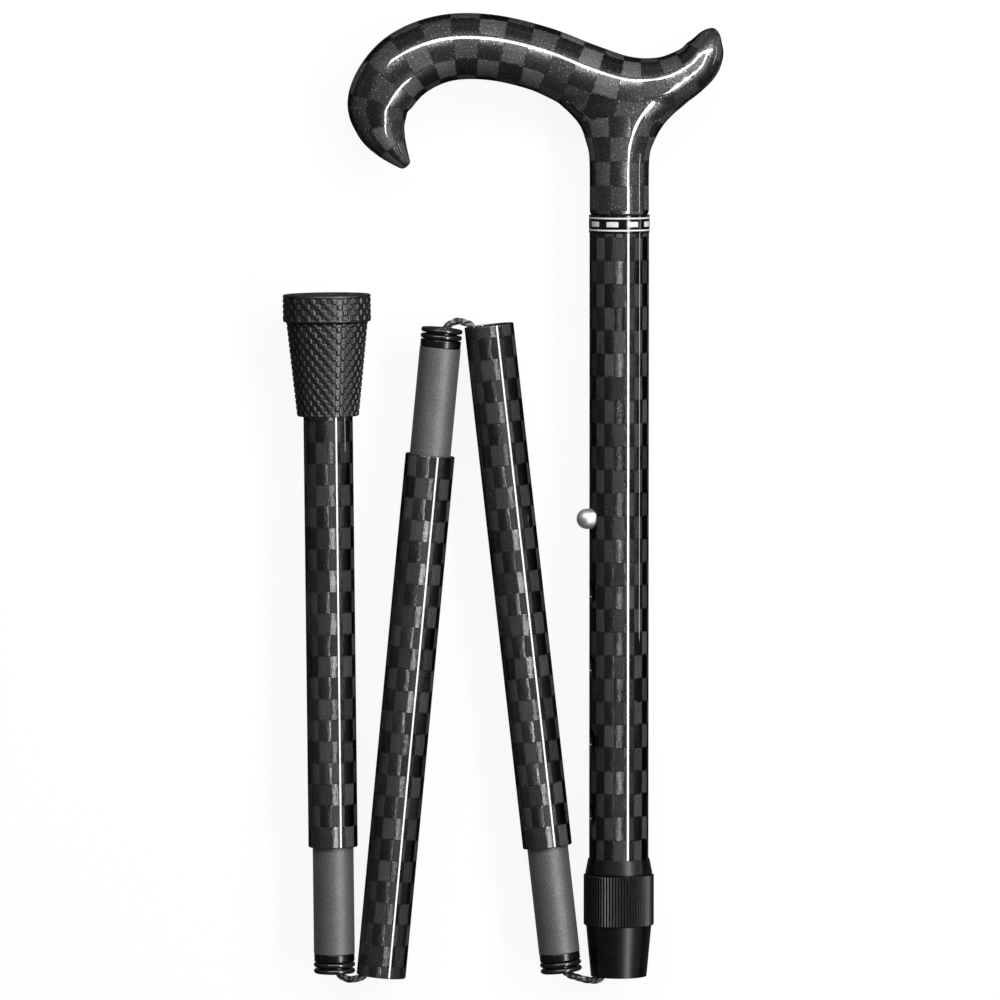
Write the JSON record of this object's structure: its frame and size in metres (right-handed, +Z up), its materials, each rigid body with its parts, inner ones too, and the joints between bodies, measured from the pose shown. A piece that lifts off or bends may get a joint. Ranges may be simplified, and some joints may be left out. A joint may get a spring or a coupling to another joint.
{
  "type": "folding cane",
  "caption": "Folding walking cane with a derby handle, telescopic snap-button height adjustment, knurled lock, plug-in ferrules on an elastic cord and a rubber tip, stored folded.",
  "frame": {"origin": "middle of the folded cane's outline, on the table that it lies on", "axes": "+Y along the upper section towards the handle, +X from the tip's side towards the handle's tail, +Z up from the table, the side that the picture shows"},
  "size_m": [0.148, 0.3274, 0.0296],
  "materials": {
    "carbon": "clear-lacquered carbon checker weave",
    "grey_aluminium": "bead-blasted, grey anodised",
    "plain_aluminium": "turned",
    "black_plastic": "satin",
    "black_ring": "gloss",
    "white_line": "gloss",
    "pearl": "mother-of-pearl inlay",
    "polished_steel": "polished",
    "spring_steel": "bright",
    "rubber": "matte",
    "elastic": "braided"
  },
  "bodies": {
    "upper_section": {"handle": "carbon", "handle_spigot": "plain_aluminium", "collar_ring": "black_ring", "collar_lines": "white_line", "collar_tiles": "pearl", "upper_tube": "carbon", "lock_sleeve": "black_plastic", "lock_collet": "black_plastic"},
    "lock_nut": {"lock_nut": "black_plastic"},
    "inner_section": {"inner_tube": "carbon", "button_spring": "spring_steel", "cord_anchor": "black_plastic", "cord_knot_upper": "elastic", "cord_upper": "elastic"},
    "button": {"height_button": "polished_steel"},
    "cord_link_12": {"cord_loop_lower": "elastic"},
    "section_2": {"tube_2": "carbon", "ferrule_2": "grey_aluminium", "end_cap_2": "black_plastic", "o_rings_2": "rubber", "cord_2": "elastic"},
    "cord_link_23": {"cord_loop_upper": "elastic"},
    "section_3": {"tube_3": "carbon", "ferrule_3": "grey_aluminium", "end_cap_3": "black_plastic", "o_rings_3": "rubber", "cord_3": "elastic"},
    "cord_link_34": {"cord_loop_outer": "elastic"},
    "section_4": {"tube_4": "carbon", "ferrule_4": "grey_aluminium", "end_cap_4": "black_plastic", "o_rings_4": "rubber", "cord_4": "elastic", "cord_plug_4": "black_plastic", "cord_knot_lower": "elastic", "tip_washer": "spring_steel", "rubber_tip": "rubber"}
  },
  "joints": [
    {"name": "lock_turn", "type": "hinge", "parent": "upper_section", "child": "lock_nut", "pos_m": [0.03905, -0.1409, 0.0148], "axis": [0, 1, 0], "range_deg": [0, 270]},
    {"name": "height_adjust", "type": "slide", "parent": "upper_section", "child": "inner_section", "axis": [0, -1, 0], "range_m": [0, 0.1], "deforming": ["height_button"]},
    {"name": "button_press", "type": "slide", "parent": "inner_section", "child": "button", "axis": [0.9511, 0, -0.309], "range_m": [0, 0.0065], "stiffness_N_per_m": 800, "deforming": ["button_spring"]},
    {"name": "seat_2", "type": "slide", "parent": "inner_section", "child": "cord_link_12", "axis": [0, 1, 0], "range_m": [0, 0.0437]},
    {"name": "fold_12", "type": "hinge", "parent": "cord_link_12", "child": "section_2", "pos_m": [0.02948, -0.16026, 0.0148], "axis": [0, 0, 1], "range_deg": [0, 173.6], "deforming": ["cord_loop_lower"]},
    {"name": "seat_3", "type": "slide", "parent": "section_2", "child": "cord_link_23", "axis": [0.1115, -0.9938, 0], "range_m": [0, 0.0437]},
    {"name": "fold_23", "type": "hinge", "parent": "cord_link_23", "child": "section_3", "pos_m": [-0.01254, 0.05819, 0.0148], "axis": [0, 0, 1], "range_deg": [-168.25, 0], "deforming": ["cord_loop_upper"]},
    {"name": "seat_4", "type": "slide", "parent": "section_3", "child": "cord_link_34", "axis": [0.0941, 0.9956, 0], "range_m": [0, 0.0437]},
    {"name": "fold_34", "type": "hinge", "parent": "cord_link_34", "child": "section_4", "pos_m": [-0.04897, -0.1606, 0.0148], "axis": [0, 0, 1], "range_deg": [0, 174.05], "deforming": ["cord_loop_outer"]}
  ],
  "couplings": [
    {"joint": "fold_23", "follows": "fold_12", "ratio": -0.96889},
    {"joint": "fold_34", "follows": "fold_12", "ratio": 1.0023}
  ]
}
